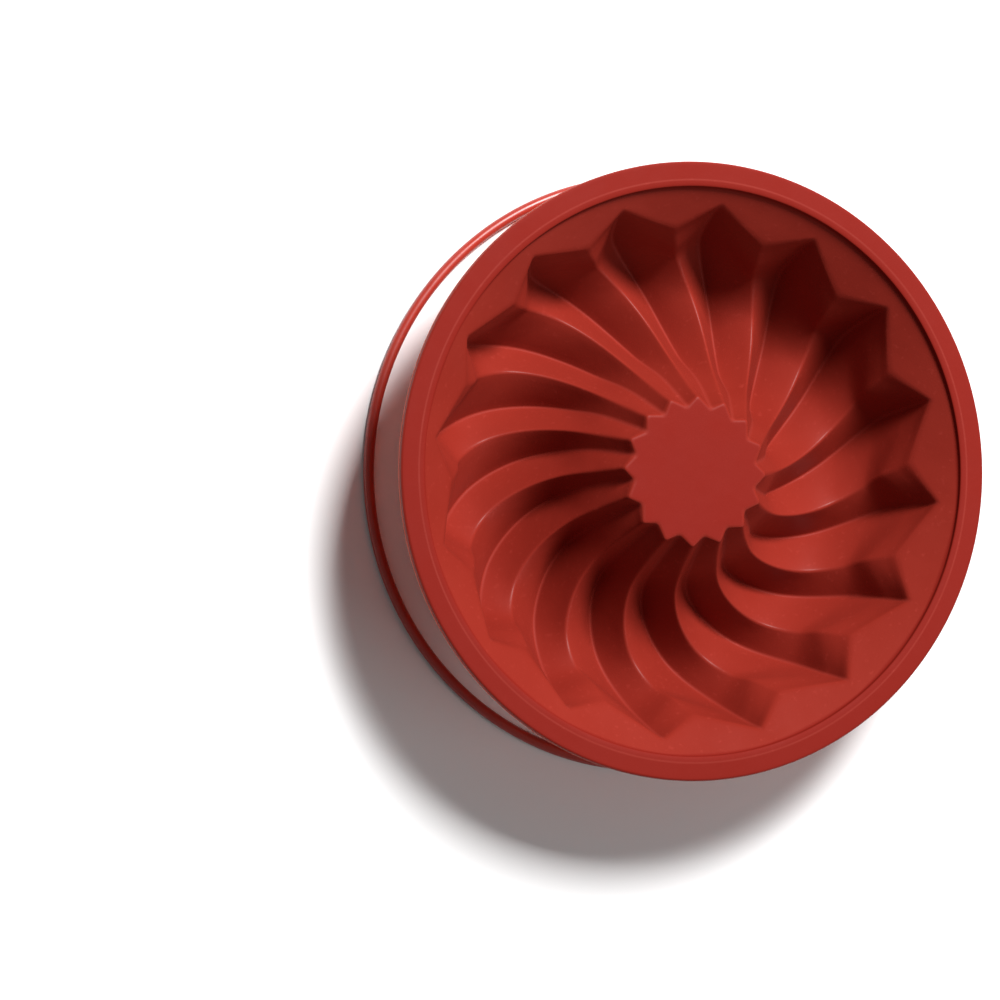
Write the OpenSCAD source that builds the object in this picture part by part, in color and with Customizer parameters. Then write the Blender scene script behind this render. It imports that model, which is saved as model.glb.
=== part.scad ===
// Fluted swirl bundt mould in flexible silicone, with its loose stiffening ring.
// Millimetres, +Z up. The mould stands on its crown ridges at z = 0, opening up,
// and its axis is the Z axis. The ring lies round it on the same surface.

/* [Overall] */
// overall diameter over the rim lip
body_d = 260; // [160:1:320]
// overall height, crown lands to rim top
body_h = 63; // [40:1:110]
// number of swirled flutes
flutes = 16; // [8:1:24]
// wall thickness of the flutes and centre cone, measured square to the profile
wall = 2; // [1.5:0.1:4]

/* [Rim] */
// width of the lip, from the outside to the cavity's edge
lip_w = 10.4; // [8:0.2:16]
// width of the eased edge on the cavity side of the lip
ease_w = 3.2; // [1:0.1:5]
// fall of the eased edge
ease_h = 0.8; // [0.3:0.1:1.2]
// thickness of the lip over its two beads
lip_t = 4.9; // [4:0.1:8]
// rounding of the lip's outer edge
lip_round = 1.2; // [0.3:0.1:1.5]
// depth of the cone flange's upper edge below the rim, cavity side
lip_step = 2.4; // [1.6:0.1:3]
// slope of the cone flange below the horizontal, cavity side, degrees
cone_slope = 43; // [35:1:50]
// slope of the cone flange below the horizontal, underside, degrees
under_slope = 40; // [35:1:45]
// width of the lip's underside, from the outside to the cone
under_w = 7.2; // [6:0.1:7.4]
// how far the beads stand below the underside
bead_h = 0.5; // [0.2:0.1:0.8]

/* [Flutes] */
// flange star tip radius as a share of the rim radius
tip_r = 0.885; // [0.8:0.005:0.92]
// flange star notch radius as a share of the rim radius
notch_r = 0.808; // [0.7:0.005:0.87]
// how far a valley lags its ridge at the flange, as a share of one flute
valley_lag = 0.6; // [0.4:0.01:0.7]
// total swirl of a ridge between flange and centre, degrees
swirl = 30; // [0:1:60]
// turn of the whole flute pattern about the axis, degrees
phase = 0; // [0:0.5:22.5]

/* [Centre] */
// depth of the closed centre disc below the rim
hub_depth = 4.5; // [2:0.5:30]
// tooth tip radius of the centre disc, underside
hub_tip_r = 30.4; // [15:0.2:45]
// tooth notch radius of the centre disc, underside
hub_notch_r = 25.6; // [12:0.2:40]

/* [Ring] */
// rod diameter of the stiffening ring
ring_d = 4.6; // [4:0.1:5.4]
// clearance round the rod in its seat
ring_gap = 0.25; // [0.1:0.05:0.6]
// depth of the seat between the beads under the lip
seat_bite = 0.8; // [0.3:0.05:0.9]
// how far the rod's centre line lies in from the outside of the rim
seat_in = 2.9; // [2.8:0.1:3.1]

/* [Hidden] */
$fn = 128;
R = body_d / 2;
H = body_h;
lip_r = R - lip_w;
pitch = 360 / flutes;
// cone flange surfaces, heights measured up from the rim plane
under_r = R - under_w;
function cone_in(r) = -lip_step - tan(cone_slope) * (lip_r - r);
function cone_out(r) = bead_h - lip_t - tan(under_slope) * (under_r - r);

// the ring's seat is pressed up into the lip between the two beads
rod = ring_d / 2;
seat_rr = rod + ring_gap;
seat_z = seat_bite - seat_rr - lip_t;
seat_r = R - seat_in;
bead_w = sqrt(seat_rr * seat_rr - pow(seat_rr - seat_bite, 2));

// flute lines from flange to centre: share of rim radius, share of height, share of swirl
ridge_r = [tip_r, 0.862, 0.792, 0.665, 0.508, 0.385, 0.298, hub_notch_r / R];
ridge_d = [0, 0.38, 0.75, 0.98, 0.988, 0.81, 0.46, 0];
ridge_a = [0, 0.02, 0.1, 0.33, 0.61, 0.83, 0.97, 1.02];
val_r   = [notch_r, 0.757, 0.718, 0.625, 0.5, 0.39, 0.303, hub_tip_r / R];
val_d   = [0, 0.49, 0.69, 0.795, 0.735, 0.58, 0.345, 0];
val_a   = [0, 0.09, 0.2, 0.39, 0.6, 0.75, 0.83, 0.9];

n_k = len(ridge_r) - 1;
rings = 28;      // rings from flange to centre
sub = 4;         // points round one flute
around = flutes * sub;

function at(v, i) = i < 0 ? 2 * v[0] - v[1] : i > n_k ? 2 * v[n_k] - v[n_k - 1] : v[i];
function cr(a, b, c, d, t) =
    0.5 * (2 * b + (c - a) * t + (2 * a - 5 * b + 4 * c - d) * t * t
           + (3 * b - a - 3 * c + d) * t * t * t);
function spline(v, s) =
    let (u = s * n_k, i = min(floor(u), n_k - 1), t = u - i)
    cr(at(v, i - 1), at(v, i), at(v, i + 1), at(v, i + 2), t);

// heights down from the rim, with both ends set by the flange and the centre disc
hub_out = hub_depth + wall;
ridge_h = [for (i = [0:n_k]) i == 0 ? -cone_out(tip_r * R) : i == n_k ? hub_out : ridge_d[i] * H];
val_h   = [for (i = [0:n_k]) i == 0 ? -cone_out(notch_r * R) : i == n_k ? hub_out : val_d[i] * H];

// outside profile points [r, z] below the rim plane
function out_pt(rr, hh, s) = [spline(rr, s) * R, -spline(hh, s)];
// square step towards the cavity side
function cav(rr, hh, s) =
    let (e = 0.004, a = out_pt(rr, hh, max(0, s - e)), b = out_pt(rr, hh, min(1, s + e)),
         d = b - a, l = norm(d))
    [d[1], -d[0]] / l;
function in_raw(rr, hh, s) = out_pt(rr, hh, s) + wall * cav(rr, hh, s);
function in_pt(rr, hh, s) =
    let (p = in_raw(rr, hh, s))
    s <= 0 ? [p[0], cone_in(p[0])] :
    s >= 1 ? [p[0] - 0.45 * (-hub_depth - p[1]) , -hub_depth] :
    [p[0], min(p[1], -hub_depth - 0.02)];

function pol(p, a) = [p[0] * cos(a), p[0] * sin(a), p[1] + H];

// one ring of points at share s, inside or outside skin
function flute_pts(s, inside) =
    let (pr = inside ? in_pt(ridge_r, ridge_h, s) : out_pt(ridge_r, ridge_h, s),
         pv = inside ? in_pt(val_r, val_h, s) : out_pt(val_r, val_h, s),
         ar = phase - swirl * spline(ridge_a, s),
         av = phase - pitch * valley_lag - swirl * spline(val_a, s))
    [for (k = [0:flutes - 1], j = [0:sub - 1])
        let (a0 = pol(pr, ar - k * pitch), a1 = pol(pv, av - k * pitch),
             a2 = pol(pr, ar - (k + 1) * pitch), h = sub / 2)
        j < h ? a0 + (a1 - a0) * (j / h) : a1 + (a2 - a1) * ((j - h) / h)];

// the first ring is the flange star, and all its points lie on the cone
function on_cone(p, inside) =
    let (r = norm([p[0], p[1]])) [p[0], p[1], H + (inside ? cone_in(r) : cone_out(r))];
function ring_pts(s, inside) =
    s > 0 ? flute_pts(s, inside) : [for (p = flute_pts(0, inside)) on_cone(p, inside)];

// circles buried in the lip where the two skins of the cone flange end
corner = 0.8;   // half the run of the slope between underside and cone
in_end = lip_r + 1;
out_end = under_r - corner / 2;
function rim_pts(inside) =
    [for (k = [0:flutes - 1], j = [0:sub - 1])
        let (h = sub / 2,
             a = phase - pitch * (k + (j < h ? valley_lag * j / h
                                            : valley_lag + (1 - valley_lag) * (j - h) / h)))
        pol(inside ? [in_end, cone_in(in_end)] : [out_end, cone_out(out_end)], a)];

module shell() {
    outs = concat([rim_pts(false)], [for (i = [0:rings]) ring_pts(i / rings, false)]);
    ins  = concat([rim_pts(true)],  [for (i = [0:rings]) ring_pts(i / rings, true)]);
    m = len(outs);
    pts = concat([for (r = outs) each r], [for (r = ins) each r],
                 [[0, 0, H - hub_out], [0, 0, H - hub_depth]]);
    function o(i, j) = i * around + (j % around);
    function n(i, j) = (m + i) * around + (j % around);
    co = 2 * m * around;
    faces = concat(
        [for (i = [0:m - 2], j = [0:around - 1]) each
            [[o(i, j), o(i, j + 1), o(i + 1, j + 1)], [o(i, j), o(i + 1, j + 1), o(i + 1, j)]]],
        [for (i = [0:m - 2], j = [0:around - 1]) each
            [[n(i, j), n(i + 1, j + 1), n(i, j + 1)], [n(i, j), n(i + 1, j), n(i + 1, j + 1)]]],
        [for (j = [0:around - 1]) each
            [[o(0, j), n(0, j), n(0, j + 1)], [o(0, j), n(0, j + 1), o(0, j + 1)]]],
        [for (j = [0:around - 1]) [o(m - 1, j), o(m - 1, j + 1), co]],
        [for (j = [0:around - 1]) [n(m - 1, j + 1), n(m - 1, j), co + 1]]);
    polyhedron(points = pts, faces = [for (f = faces) [f[0], f[2], f[1]]]);
}

module lip() {
    steps = 6;            // straight pieces along the eased edge
    crest = 0.4;          // width of the inner bead's top
    buried = lip_r + 1;   // the lip ends inside the cone flange's wall
    root = 0.3;           // and its step goes on down into the flange by this much
    fall = (bead_h - lip_t - cone_out(under_r - corner)) / (2 * corner);
    ease = [for (i = [0:steps]) let (t = 90 * i / steps)
        [lip_r + ease_w * (1 - cos(t)), ease_h * (sin(t) - 1)]];
    translate([0, 0, H]) rotate_extrude() {
        polygon(concat(
            [[lip_r, -lip_step - root]], ease,
            [[R - lip_round, 0], [R - lip_round, -lip_t], [seat_r - bead_w - crest, -lip_t],
             [under_r + corner, bead_h - lip_t],
             [buried, bead_h - lip_t - fall * (under_r + corner - buried)]]));
        translate([R - 2 * lip_round, -lip_t + lip_round])
            square([2 * lip_round, lip_t - 2 * lip_round]);
        translate([R - lip_round, -lip_round]) circle(r = lip_round, $fn = 32);
        translate([R - lip_round, -lip_t + lip_round]) circle(r = lip_round, $fn = 32);
    }
}

module mould() {
    color([0.74, 0.2, 0.13]) difference() {
        union() {
            shell();
            lip();
        }
        // seat for the rod between the beads
        translate([0, 0, H + seat_z]) rotate_extrude()
            translate([seat_r, 0]) circle(r = seat_rr, $fn = 32);
        // small lands where the crown ridges stand
        translate([0, 0, -5]) cylinder(r = R, h = 5);
    }
}

module support_ring() {
    color([0.7, 0.16, 0.12]) translate([0, 0, rod]) rotate_extrude()
        translate([seat_r, 0]) circle(r = rod, $fn = 32);
}

mould();
support_ring();
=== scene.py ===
"""Fluted silicone bundt mould and its loose stiffening ring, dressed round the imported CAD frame.

Millimetres are used for the mould's own shape and turned into metres when a mesh is made.
"""
import math

import bpy
import numpy as np
from mathutils import Matrix, Vector


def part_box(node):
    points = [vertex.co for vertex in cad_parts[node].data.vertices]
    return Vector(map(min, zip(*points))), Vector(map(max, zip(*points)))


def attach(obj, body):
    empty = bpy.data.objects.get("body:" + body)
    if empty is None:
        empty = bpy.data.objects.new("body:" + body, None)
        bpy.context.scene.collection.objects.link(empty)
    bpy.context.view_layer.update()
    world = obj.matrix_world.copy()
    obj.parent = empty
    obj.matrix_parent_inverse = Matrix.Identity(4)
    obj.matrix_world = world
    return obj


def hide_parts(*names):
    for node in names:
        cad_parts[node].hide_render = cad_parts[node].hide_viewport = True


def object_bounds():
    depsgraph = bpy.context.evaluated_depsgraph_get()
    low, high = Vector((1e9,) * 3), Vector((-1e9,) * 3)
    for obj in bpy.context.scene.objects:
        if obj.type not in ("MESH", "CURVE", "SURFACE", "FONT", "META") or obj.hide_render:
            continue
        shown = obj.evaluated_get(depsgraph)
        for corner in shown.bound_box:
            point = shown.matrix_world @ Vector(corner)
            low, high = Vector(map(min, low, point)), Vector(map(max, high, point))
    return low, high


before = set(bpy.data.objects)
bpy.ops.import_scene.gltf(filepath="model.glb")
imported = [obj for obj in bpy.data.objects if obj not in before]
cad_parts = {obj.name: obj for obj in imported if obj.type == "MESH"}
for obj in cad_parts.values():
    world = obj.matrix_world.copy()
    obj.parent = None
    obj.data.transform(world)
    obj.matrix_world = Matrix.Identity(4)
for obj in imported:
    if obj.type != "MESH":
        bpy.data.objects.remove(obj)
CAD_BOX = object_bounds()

MM = 0.001

# ---------------------------------------------------------------- driving sizes, millimetres
RIM_R = (CAD_BOX[1][0] - CAD_BOX[0][0]) / 2 / MM
HEIGHT = (CAD_BOX[1][2] - CAD_BOX[0][2]) / MM
RING_LO, RING_HI = (np.array(c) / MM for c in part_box("support_ring"))

FLUTES = 16
WALL = 2.0
LIP_W = 10.4
EASE_W = 3.2
EASE_H = 0.8
LIP_T = 4.9
LIP_ROUND = 1.2
LIP_STEP = 2.4
BEAD_H = 0.5
CONE_SLOPE = math.radians(43)
UNDER_SLOPE = math.radians(40)
UNDER_W = 7.2
VALLEY_LAG = 0.6
SWIRL = 30.0
HUB_DEPTH = 4.5
HUB_TIP_R = 30.4
HUB_NOTCH_R = 25.6
RING_GAP = 0.25
SEAT_BITE = 0.8

LIP_R = RIM_R - LIP_W
UNDER_R = RIM_R - UNDER_W
PITCH = 360 / FLUTES
HUB_OUT = HUB_DEPTH + WALL
ROD = (RING_HI[2] - RING_LO[2]) / 2
RING_R = (RING_HI[0] - RING_LO[0]) / 2 - ROD

# flute lines from flange to centre: share of rim radius, share of height, share of swirl
RIDGE_R = [0.885, 0.862, 0.792, 0.665, 0.508, 0.385, 0.298, HUB_NOTCH_R / RIM_R]
RIDGE_D = [None, 0.38, 0.75, 0.98, 0.988, 0.81, 0.46, None]
RIDGE_A = [0, 0.02, 0.1, 0.33, 0.61, 0.83, 0.97, 1.02]
VALLEY_R = [0.808, 0.757, 0.718, 0.625, 0.5, 0.39, 0.303, HUB_TIP_R / RIM_R]
VALLEY_D = [None, 0.49, 0.69, 0.795, 0.735, 0.58, 0.345, None]
VALLEY_A = [0, 0.09, 0.2, 0.39, 0.6, 0.75, 0.83, 0.9]

# rounding, as the distance from an edge at which the curve starts
CREST_OUT = 1.6
CREST_IN = 1.5
STAR_ROUND = 1.6
HUB_ROUND = 1.3
STEP_FOOT = 0.45
UNDER_CORNER = 0.8
# and the largest share of a face that a curve may take
ROUND_LIMIT = 0.3

# the parting line round the lip's side: how far it stands out, and half its width at root and top
PARTING_OUT = 0.1
PARTING_ROOT = 0.2
PARTING_TOP = 0.08

# mesh density
CORNER_STEPS = 6
FACE_STEPS = 5
WALL_ROWS = 92
DISC_ROWS = 6
CONE_ROWS = (0.2, 0.4, 0.6, 0.8, 0.93)
RING_STEPS = 360
ROD_STEPS = 28

# share of a flute line over which it settles on the cone at one end and on the disc at the other
STAR_BLEND = 0.08
HUB_BLEND = 0.03
# short stretch of a flute line from which its length per share is measured
STRETCH = 0.02

# how much of the flats' matt texture and painted shade is left on the glossy lines of the lip, which so
# stay lighter as painted highlight lines
EDGE_MATT_AND_SHADE = 0.1


def cone_in(r):
    """Height of the cone flange's inner face below the rim plane."""
    return -LIP_STEP - math.tan(CONE_SLOPE) * (LIP_R - r)


def cone_out(r):
    """Height of its outer face, which meets the underside of the lip."""
    return BEAD_H - LIP_T - math.tan(UNDER_SLOPE) * (UNDER_R - r)


# ---------------------------------------------------------------- flute lines
def spline(values, s):
    """Catmull-Rom curve through evenly spaced values, carried on straight past both ends."""
    v = np.asarray(values, float)
    v = np.concatenate([[2 * v[0] - v[1]], v, [2 * v[-1] - v[-2]]])
    last = len(values) - 1
    u = np.clip(s, 0, 1) * last
    i = np.minimum(np.floor(u).astype(int), last - 1)
    t = u - i
    a, b, c, d = v[i], v[i + 1], v[i + 2], v[i + 3]
    curve = 0.5 * (2 * b + (c - a) * t + (2 * a - 5 * b + 4 * c - d) * t**2
                   + (3 * b - a - 3 * c + d) * t**3)
    start, end = (v[2] - v[0]) / 2 * last, (v[-1] - v[-3]) / 2 * last
    return curve + np.minimum(s, 0) * start + np.maximum(s - 1, 0) * end


class Line:
    """A ridge or valley line on the outside skin, and its twin on the cavity skin."""

    def __init__(self, radii, depths, swirl, lag):
        self.radii = np.array(radii) * RIM_R
        self.depths = np.array([d if d is None else d * HEIGHT for d in depths], dtype=object)
        self.depths[0] = -cone_out(self.radii[0])
        self.depths[-1] = HUB_OUT
        self.depths = self.depths.astype(float)
        self.swirl = swirl
        self.lag = lag
        self.cavity_start = self._root(lambda p: p[1] - cone_in(p[0]), -0.1, 0.2)
        self.cavity_end = self._root(lambda p: p[1] + HUB_DEPTH, 0.8, 1.15)

    def outside(self, s):
        return np.array([spline(self.radii, s), -spline(self.depths, s)])

    def cavity(self, s):
        """The outside line moved one wall thickness towards the cavity."""
        near = 0.004
        step = self.outside(s + near) - self.outside(s - near)
        return self.outside(s) + WALL * np.array([step[1], -step[0]]) / np.hypot(*step)

    def _root(self, f, lo, hi):
        """The share between lo and hi at which f of the cavity point changes sign, by halving."""
        sign = f(self.cavity(np.float64(lo))) > 0
        for _ in range(40):
            mid = (lo + hi) / 2
            if (f(self.cavity(np.float64(mid))) > 0) == sign:
                lo = mid
            else:
                hi = mid
        return (lo + hi) / 2

    def points(self, s, inside):
        """One point per flute, at share s of the way from flange to centre."""
        if inside:
            s = self.cavity_start + (self.cavity_end - self.cavity_start) * s
            r, z = self.cavity(np.float64(s))
        else:
            r, z = self.outside(np.float64(s))
        turns = -SWIRL * spline(self.swirl, np.clip(s, 0, 1)) - PITCH * (self.lag + np.arange(FLUTES))
        a = np.radians(turns)
        return np.stack([r * np.cos(a), r * np.sin(a), np.full(FLUTES, z)], axis=1)


RIDGE = Line(RIDGE_R, RIDGE_D, RIDGE_A, 0.0)
VALLEY = Line(VALLEY_R, VALLEY_D, VALLEY_A, VALLEY_LAG)


def bezier(a, corner, b, t):
    """The point at share t of a curve from a to b that rounds off the corner."""
    return (1 - t) ** 2 * a + 2 * t * (1 - t) * corner + t**2 * b


def section(s, inside):
    """One closed row of points round all flutes, with its edges rounded, heights from the rim plane."""
    ridge, valley = RIDGE.points(s, inside), VALLEY.points(s, inside)
    before, after = np.roll(valley, 1, axis=0), np.roll(ridge, -1, axis=0)
    size = CREST_IN if inside else CREST_OUT

    def cut(a, b):
        """The point at the rounding distance from a, towards b."""
        length = np.linalg.norm(b - a, axis=1, keepdims=True)
        return a + (b - a) * np.minimum(size / length, ROUND_LIMIT)

    corner = np.linspace(0, 1, CORNER_STEPS)[None, :, None]
    face = np.linspace(0, 1, FACE_STEPS + 2)[None, 1:-1, None]

    def turn(p, q, r):
        return bezier(p[:, None], q[:, None], r[:, None], corner)

    def flat(p, q):
        return p[:, None] + (q - p)[:, None] * face

    parts = [turn(cut(ridge, before), ridge, cut(ridge, valley)),
             flat(cut(ridge, valley), cut(valley, ridge)),
             turn(cut(valley, ridge), valley, cut(valley, after)),
             flat(cut(valley, after), cut(after, valley))]
    row = np.concatenate(parts, axis=1)
    return row.reshape(-1, 3)


def crest_mark():
    """One number per column of a row: 1 on a ridge line, -1 on a valley line, 0 on the faces."""
    bump = np.sin(np.linspace(0, math.pi, CORNER_STEPS))
    none = np.zeros(FACE_STEPS)
    return np.tile(np.concatenate([bump, none, -bump, none]), FLUTES)


# ---------------------------------------------------------------- rows from disc to lip to disc
def skin(inside):
    """Rows of one skin from the centre disc out to where the cone flange meets the lip.

    Each row has a weight: 1 on the flutes, 0 on the disc and the flange, and between at their edges.
    """
    cone = cone_in if inside else cone_out
    hub_z = -HUB_DEPTH if inside else -HUB_OUT

    def wall(s):
        row = section(s, inside)
        # the star's edge lies on the cone
        near = max(0.0, 1 - s / STAR_BLEND) ** 2
        r = np.hypot(row[:, 0], row[:, 1])
        row[:, 2] += near * (cone(r) - row[:, 2])
        # and the disc's edge on the disc
        near = max(0.0, 1 - (1 - s) / HUB_BLEND) ** 2
        row[:, 2] += near * (hub_z - row[:, 2])
        return row

    star, hub = wall(0.0), wall(1.0)
    centre = np.array([0, 0, hub_z])
    rows, weights = [], []

    hub_len = np.linalg.norm(hub - centre, axis=1, keepdims=True)
    first, last = 0.12, 0.94
    for t in np.linspace(first, last, DISC_ROWS):
        rows.append(centre + (hub - centre) * (1 - HUB_ROUND / hub_len) * t)
        weights.append(0)
    speed = np.linalg.norm(wall(1 - STRETCH) - hub, axis=1).mean() / STRETCH
    hub_s = 1 - HUB_ROUND / speed
    for t in np.linspace(0, 1, CORNER_STEPS):
        rows.append(bezier(hub + (centre - hub) * (HUB_ROUND / hub_len), hub, wall(hub_s), t))
        weights.append(t)

    speed = np.linalg.norm(wall(STRETCH) - star, axis=1).mean() / STRETCH
    star_s = STAR_ROUND / speed
    for s in np.linspace(hub_s, star_s, WALL_ROWS)[1:-1]:
        rows.append(wall(s))
        weights.append(1)

    angle = np.arctan2(star[:, 1], star[:, 0])
    edge_r = LIP_R - STEP_FOOT if inside else UNDER_R - UNDER_CORNER
    edge = circle(edge_r, cone(edge_r), angle)
    run = np.linalg.norm(edge - star, axis=1, keepdims=True)
    begin = star + (edge - star) * STAR_ROUND / run
    for t in np.linspace(0, 1, CORNER_STEPS):
        rows.append(bezier(wall(star_s), star, begin, t))
        weights.append(1 - t)
    for t in CONE_ROWS:
        rows.append(begin + (edge - begin) * t)
        weights.append(0)
    return rows, weights, angle


def circle(r, z, angle):
    """A row of points at one radius and one height."""
    return np.stack([r * np.cos(angle), r * np.sin(angle), np.full(len(angle), z)], axis=1)


def arc(cx, cz, radius, start, end, steps):
    """Points along an arc about (cx, cz), between two directions in degrees."""
    return [(cx + radius * math.cos(math.radians(a)), cz + radius * math.sin(math.radians(a)))
            for a in np.linspace(start, end, steps)]


# ---------------------------------------------------------------- lip
def lip_top():
    """The step up from the flange, its eased edge, the flat face and the rounded outer edge."""
    foot = LIP_R - STEP_FOOT / 2
    lean, lift = 0.06, 0.1
    points = [(foot, cone_in(foot))]
    points += [(LIP_R - lean, cone_in(LIP_R) + lift), (LIP_R, cone_in(LIP_R) + STEP_FOOT)]
    points += [(LIP_R + EASE_W * (1 - math.cos(t)), EASE_H * (math.sin(t) - 1))
               for t in np.radians(np.linspace(0, 90, 10))]
    margin = 1
    points += [(LIP_R + EASE_W + margin, 0), (RIM_R - LIP_ROUND - margin, 0)]
    return points + arc(RIM_R - LIP_ROUND, -LIP_ROUND, LIP_ROUND, start=90, end=4, steps=7)


def lip_side():
    """The outer wall with its parting line, and the rounded edge of the outer bead."""
    side = RIM_R - PARTING_OUT
    middle = -LIP_T / 2
    top, bottom = -LIP_ROUND - 0.3, LIP_ROUND + 0.2 - LIP_T
    upper = [(side, top), (side, middle + PARTING_ROOT), (RIM_R, middle + PARTING_TOP)]
    lower = [(RIM_R, middle - PARTING_TOP), (side, middle - PARTING_ROOT), (side, bottom)]
    bead = arc(RIM_R - LIP_ROUND, LIP_ROUND - LIP_T, LIP_ROUND, start=-4, end=-68, steps=6)
    return upper + lower + bead


def lip_under():
    """The rod's seat between the beads, the inner bead, and the corner with the flange's outer face."""
    seat = ROD + RING_GAP
    seat_z = SEAT_BITE - seat - LIP_T
    eased = 3
    half = math.degrees(math.acos((seat - SEAT_BITE) / seat)) - eased
    points = arc(RING_R, seat_z, seat, start=90 - half, end=90 + half, steps=12)
    # the bead's top, in steps inward and up from its edge
    bead = RING_R - math.sqrt(seat**2 - (seat - SEAT_BITE) ** 2)
    bead_top = ((0.08, 0.04), (0.3, 0.04), (0.55, 0.12))
    points += [(bead - inward, up - LIP_T) for inward, up in bead_top]
    # the underside behind it, in steps inward and down from the end of its slope
    foot = UNDER_R + UNDER_CORNER
    underside = ((-0.3, 0.1), (0.1, 0), (0.5, 0.05))
    points += [(foot - inward, BEAD_H - down - LIP_T) for inward, down in underside]
    for t in (0.35, 0.15):
        r = UNDER_R - UNDER_CORNER * (1 - 2 * t)
        sag = 0.5 * t * (cone_out(r) - BEAD_H + LIP_T + 1)
        points.append((r, cone_out(r) - sag))
    return points


def lip_profile():
    """(radius, height) points over the lip, from the foot of its step round to the outer cone."""
    return lip_top() + lip_side() + lip_under()


def glossy_rows(lip):
    """How many lip rows belong to the cavity side: those above the middle of the parting line."""
    wall_r = RIM_R - 0.5
    return next(i for i, (r, z) in enumerate(lip) if r > wall_r and z < -LIP_T / 2)


def lip_matt_and_shade(r):
    """How matt the lip is at radius r, and how far its colour is darkened with painted shade: little on
    the inner line of its face and on its outer edge, which stay glossy and lighter as painted highlight
    lines.
    """
    line_r, line_half = LIP_R + 0.8 * EASE_W, 0.3
    glossy_and_lighter = abs(r - line_r) < line_half or r > RIM_R - LIP_ROUND / 2
    return EDGE_MATT_AND_SHADE if glossy_and_lighter else 1


# ---------------------------------------------------------------- meshes
def grid_faces(rows, count):
    """Quads between neighbouring rows, each row closed on itself."""
    faces = []
    for i in range(rows - 1):
        for j in range(count):
            k = (j + 1) % count
            faces.append((i * count + j, i * count + k, (i + 1) * count + k, (i + 1) * count + j))
    return faces


def mark(mesh, name, rows, middle):
    """Store one number per point as an attribute, with the cavity's middle point apart."""
    layer = mesh.attributes.new(name, "FLOAT", "POINT")
    layer.data.foreach_set("value", np.concatenate([rows.ravel(), [middle, 0]]))


def build_mould():
    inner, inner_weights, angle_in = skin(True)
    outer, outer_weights, angle_out = skin(False)
    lip = lip_profile()
    rows = list(inner)
    for i, (r, z) in enumerate(lip):
        share = i / (len(lip) - 1)
        rows.append(circle(r, z, np.unwrap(angle_in) * (1 - share) + np.unwrap(angle_out) * share))
    rows += list(reversed(outer))

    count = len(rows[0])
    verts = np.concatenate(rows + [[[0, 0, -HUB_DEPTH]], [[0, 0, -HUB_OUT]]])
    # the crown's lands are where the ridges are cut off at the surface that the mould stands on
    verts[:, 2] = np.maximum(verts[:, 2] + HEIGHT, 0)
    faces = grid_faces(len(rows), count)
    last = (len(rows) - 1) * count
    top, bottom = len(verts) - 2, len(verts) - 1
    faces += [(top, (j + 1) % count, j) for j in range(count)]
    faces += [(bottom, last + j, last + (j + 1) % count) for j in range(count)]

    mesh = bpy.data.meshes.new("mould_skin")
    mesh.from_pydata((verts * MM).tolist(), [], faces)
    mesh.validate()
    # the cavity and the lip's face take the first finish, the outside the second
    inside_rows = len(inner) + glossy_rows(lip)
    material_of = [0] * (inside_rows * count) + [1] * ((len(rows) - 1 - inside_rows) * count)
    material_of += [0] * count + [1] * count
    mesh.polygons.foreach_set("material_index", material_of)
    mesh.polygons.foreach_set("use_smooth", [True] * len(mesh.polygons))

    weights = np.array(inner_weights + [0] * len(lip) + outer_weights[::-1])
    mark(mesh, "crest", weights[:, None] * crest_mark(), 0)
    # only the cavity's disc and the lip are matt, and their colour is darkened with painted shade
    matt_and_shade = [1 - w for w in inner_weights[:DISC_ROWS + CORNER_STEPS]]
    matt_and_shade += [0] * (len(inner) - len(matt_and_shade))
    matt_and_shade += [lip_matt_and_shade(r) for r, z in lip]
    matt_and_shade += [0] * len(outer)
    mark(mesh, "flat", np.repeat(np.array(matt_and_shade)[:, None], count, axis=1), 1)
    mesh.update()
    return bpy.data.objects.new("mould_skin", mesh)


def build_ring():
    """The rod, bent into a closed circle."""
    a = np.linspace(0, 2 * math.pi, RING_STEPS, endpoint=False)[:, None]
    b = np.linspace(0, 2 * math.pi, ROD_STEPS, endpoint=False)[None, :]
    r = RING_R + ROD * np.cos(b)
    z = RING_LO[2] + ROD + ROD * np.sin(b) + 0 * a
    verts = np.stack([r * np.cos(a), r * np.sin(a), z], axis=2).reshape(-1, 3)
    faces = []
    for i in range(RING_STEPS):
        here, ahead = i * ROD_STEPS, (i + 1) % RING_STEPS * ROD_STEPS
        for j in range(ROD_STEPS):
            k = (j + 1) % ROD_STEPS
            faces.append((here + j, ahead + j, ahead + k, here + k))
    mesh = bpy.data.meshes.new("ring_rod")
    mesh.from_pydata((verts * MM).tolist(), [], faces)
    mesh.polygons.foreach_set("use_smooth", [True] * len(mesh.polygons))
    mesh.update()
    return bpy.data.objects.new("ring_rod", mesh)


# ---------------------------------------------------------------- materials
# the middle part of a noise texture's output, which is spread out to the full range
MIDDLE = (0.3, 0.7)
WHOLE = (0, 1)


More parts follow.
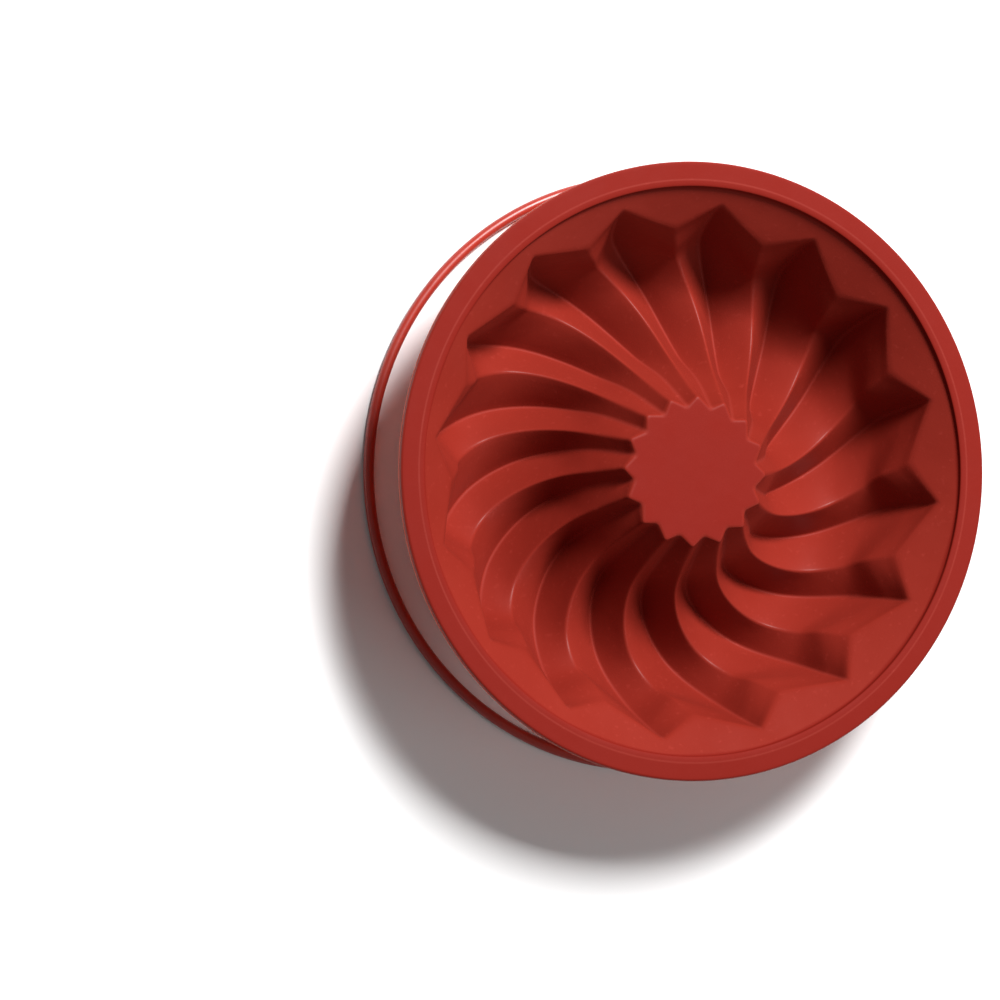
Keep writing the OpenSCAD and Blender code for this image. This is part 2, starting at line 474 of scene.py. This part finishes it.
class Nodes:
    """A short way to make and link shader nodes."""

    def __init__(self, name):
        self.material = bpy.data.materials.new(name)
        self.material.use_nodes = True
        self.tree = self.material.node_tree
        self.shader = self.tree.nodes["Principled BSDF"]
        self.place = self.new("ShaderNodeTexCoord").outputs["Object"]

    def new(self, kind, **values):
        node = self.tree.nodes.new(kind)
        for key, value in values.items():
            setattr(node, key, value)
        return node

    def link(self, a, b):
        self.tree.links.new(a, b)

    def constants(self, **values):
        """Set the shader's own sockets, named with underscores for spaces."""
        for key, value in values.items():
            self.shader.inputs[key.replace("_", " ")].default_value = value

    def attribute(self, name):
        return self.new("ShaderNodeAttribute", attribute_name=name).outputs["Fac"]

    def noise(self, scale, detail, roughness=0.5):
        node = self.new("ShaderNodeTexNoise")
        self.link(self.place, node.inputs["Vector"])
        node.inputs["Scale"].default_value = scale
        node.inputs["Detail"].default_value = detail
        node.inputs["Roughness"].default_value = roughness
        return node.outputs["Fac"]

    def remap(self, value, source, target):
        """Stretch the source range of a value over the target range."""
        node = self.new("ShaderNodeMapRange")
        self.link(value, node.inputs["Value"])
        for key, number in zip(("From Min", "From Max", "To Min", "To Max"), source + target):
            node.inputs[key].default_value = number
        return node.outputs["Result"]

    def mix(self, factor, a, b):
        node = self.new("ShaderNodeMix", data_type="RGBA")
        self.link(factor, node.inputs[0])
        for socket, value in ((node.inputs[6], a), (node.inputs[7], b)):
            if isinstance(value, tuple):
                socket.default_value = (*value, 1)
            else:
                self.link(value, socket)
        return node.outputs[2]

    def add(self, a, b):
        node = self.new("ShaderNodeMath", operation="ADD")
        self.link(a, node.inputs[0])
        self.link(b, node.inputs[1])
        return node.outputs[0]

    def bump(self, height, strength, distance, under=None):
        node = self.new("ShaderNodeBump")
        self.link(height, node.inputs["Height"])
        node.inputs["Strength"].default_value = strength
        node.inputs["Distance"].default_value = distance
        if under:
            self.link(under, node.inputs["Normal"])
        return node.outputs["Normal"]


def paler(colour, times, plus):
    return tuple(min(1, c * times + plus) for c in colour)


def silicone(name, deep, light, flat_shade_tone, rough, grain, crest_highlight_tone, sheen, scatter):
    """Moulded silicone: mottled pigment, crests paler as a painted highlight and duller, matt flats
    darkened with painted shade, fine grain and uneven gloss.
    """
    n = Nodes(name)
    crest = n.attribute("crest")
    flat = n.attribute("flat")

    cloud = n.remap(n.noise(14, 4), MIDDLE, WHOLE)
    speck = n.remap(n.noise(420, 2), (0.62, 0.78), (0, 0.35))
    base = n.mix(cloud, deep, light)
    base = n.mix(speck, base, paler(light, 1.35, 0.01))
    # the crests are made paler: a painted highlight along the ridge lines
    base = n.mix(n.remap(crest, WHOLE, (0, crest_highlight_tone)), base, paler(light, 1.5, 0.015))
    # the disc and the lip's face are darkened towards their tone: painted shade; their matt finish is the
    # added roughness below
    base = n.mix(n.remap(flat, WHOLE, (0, 0.85)), base, flat_shade_tone)
    n.link(base, n.shader.inputs["Base Color"])

    uneven = n.remap(n.noise(55, 5, 0.6), MIDDLE, rough)
    dull = n.add(n.remap(flat, WHOLE, (0, 0.3)), n.remap(crest, WHOLE, (0, 0.28)))
    n.link(n.add(uneven, dull), n.shader.inputs["Roughness"])
    fine = n.bump(n.noise(grain, 3), 0.35, 0.12 * MM)
    wavy = n.bump(n.noise(60, 2), 0.25, 1.2 * MM, fine)
    n.link(wavy, n.shader.inputs["Normal"])
    n.constants(IOR=1.41, Specular_IOR_Level=0.18)
    n.constants(Sheen_Weight=sheen, Sheen_Roughness=0.45, Sheen_Tint=(1.0, 0.62, 0.5, 1))
    n.constants(Subsurface_Weight=scatter, Subsurface_Radius=(1.0, 0.22, 0.12), Subsurface_Scale=4 * MM)
    return n.material


def coated_rod():
    """Smooth satin coating on the ring's rod, finely uneven."""
    n = Nodes("ring_coating")
    cloud = n.remap(n.noise(30, 3), MIDDLE, WHOLE)
    n.link(n.mix(cloud, (0.31, 0.023, 0.014), (0.37, 0.032, 0.018)), n.shader.inputs["Base Color"])
    n.link(n.remap(n.noise(90, 4), MIDDLE, (0.3, 0.42)), n.shader.inputs["Roughness"])
    n.link(n.bump(n.noise(700, 3), 0.25, 0.1 * MM), n.shader.inputs["Normal"])
    n.constants(Coat_Weight=0.15, Coat_Roughness=0.3)
    return n.material


def floor_material():
    """Pale matt grey, very slightly uneven."""
    n = Nodes("floor")
    cloud = n.remap(n.noise(3, 3), MIDDLE, WHOLE)
    n.link(n.mix(cloud, (0.86, 0.86, 0.86), (0.88, 0.88, 0.88)), n.shader.inputs["Base Color"])
    n.constants(Roughness=0.6)
    return n.material


# ---------------------------------------------------------------- stage
# where the camera stands, the point it looks at and its upward side, in metres
CAMERA_AT = Vector((-0.5183, 0.1207, 1.4895))
CAMERA_AIM = Vector((-0.0876, 0.0121, 0.063))
CAMERA_UP = Vector((0.2712, 0.9625, 0.0086))
CAMERA_LENS = 130.57
CAMERA_SENSOR = 36
CAMERA_REACH = 20

# the lights all stand at one distance from a point in the mould
LIGHT_AIM = Vector((0, 0, 0.03))
LIGHT_DISTANCE = 1.87
WORLD_STRENGTH = 0.14
FLOOR_HALF = 3.0


def add_camera():
    data = bpy.data.cameras.new("camera")
    data.lens = CAMERA_LENS
    data.sensor_width = CAMERA_SENSOR
    data.clip_end = CAMERA_REACH
    camera = bpy.data.objects.new("camera", data)
    back = (CAMERA_AT - CAMERA_AIM).normalized()
    side = CAMERA_UP.cross(back).normalized()
    up = back.cross(side)
    turn = Matrix((side, up, back)).transposed()
    camera.matrix_world = Matrix.Translation(CAMERA_AT) @ turn.to_4x4()
    bpy.context.collection.objects.link(camera)
    bpy.context.scene.camera = camera


def add_light(name, turn, height, size, power):
    """A soft square light aimed at the mould, turned from the picture's right and raised, in degrees."""
    far = Vector((CAMERA_UP.x, CAMERA_UP.y, 0)).normalized()
    right = Vector((far.y, -far.x, 0))
    turn, height = math.radians(turn), math.radians(height)
    level = math.cos(turn) * right + math.sin(turn) * far
    toward = math.cos(height) * level + Vector((0, 0, math.sin(height)))
    data = bpy.data.lights.new(name, "AREA")
    data.size = size
    data.energy = power
    light = bpy.data.objects.new(name, data)
    light.location = LIGHT_AIM + LIGHT_DISTANCE * toward
    light.rotation_euler = (-toward).to_track_quat("-Z", "Y").to_euler()
    bpy.context.collection.objects.link(light)


def add_floor():
    mesh = bpy.data.meshes.new("floor")
    corners = [(x * FLOOR_HALF, y * FLOOR_HALF, 0) for x, y in ((-1, -1), (1, -1), (1, 1), (-1, 1))]
    mesh.from_pydata(corners, [], [(0, 1, 2, 3)])
    floor = bpy.data.objects.new("floor", mesh)
    floor.data.materials.append(floor_material())
    bpy.context.collection.objects.link(floor)


def add_world():
    world = bpy.data.worlds.new("studio")
    bpy.context.scene.world = world
    world.use_nodes = True
    background = world.node_tree.nodes["Background"]
    background.inputs["Color"].default_value = (1, 1, 1, 1)
    background.inputs["Strength"].default_value = WORLD_STRENGTH


# ---------------------------------------------------------------- put together
INSIDE = silicone("silicone_inside", deep=(0.215, 0.0175, 0.0105), light=(0.245, 0.0215, 0.013),
                  flat_shade_tone=(0.183, 0.0070, 0.0028), rough=(0.36, 0.46), grain=1500,
                  crest_highlight_tone=0.06, sheen=0.0, scatter=0.0)
OUTSIDE = silicone("silicone_outside", deep=(0.48, 0.060, 0.026), light=(0.55, 0.076, 0.032),
                   flat_shade_tone=(0.45, 0.054, 0.024), rough=(0.48, 0.6), grain=2600,
                   crest_highlight_tone=0.4, sheen=0.12, scatter=0.1)

mould = build_mould()
mould.data.materials.append(INSIDE)
mould.data.materials.append(OUTSIDE)
bpy.context.collection.objects.link(mould)
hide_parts("mould")
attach(mould, "mould")

ring = build_ring()
ring.data.materials.append(coated_rod())
bpy.context.collection.objects.link(ring)
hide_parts("support_ring")
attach(ring, "ring")

add_camera()
add_floor()
add_world()
add_light("key", 72, 54.5, 0.5, 66)
add_light("fill", 328, 32, 1.0, 8)
bpy.context.scene.view_settings.view_transform = "Standard"
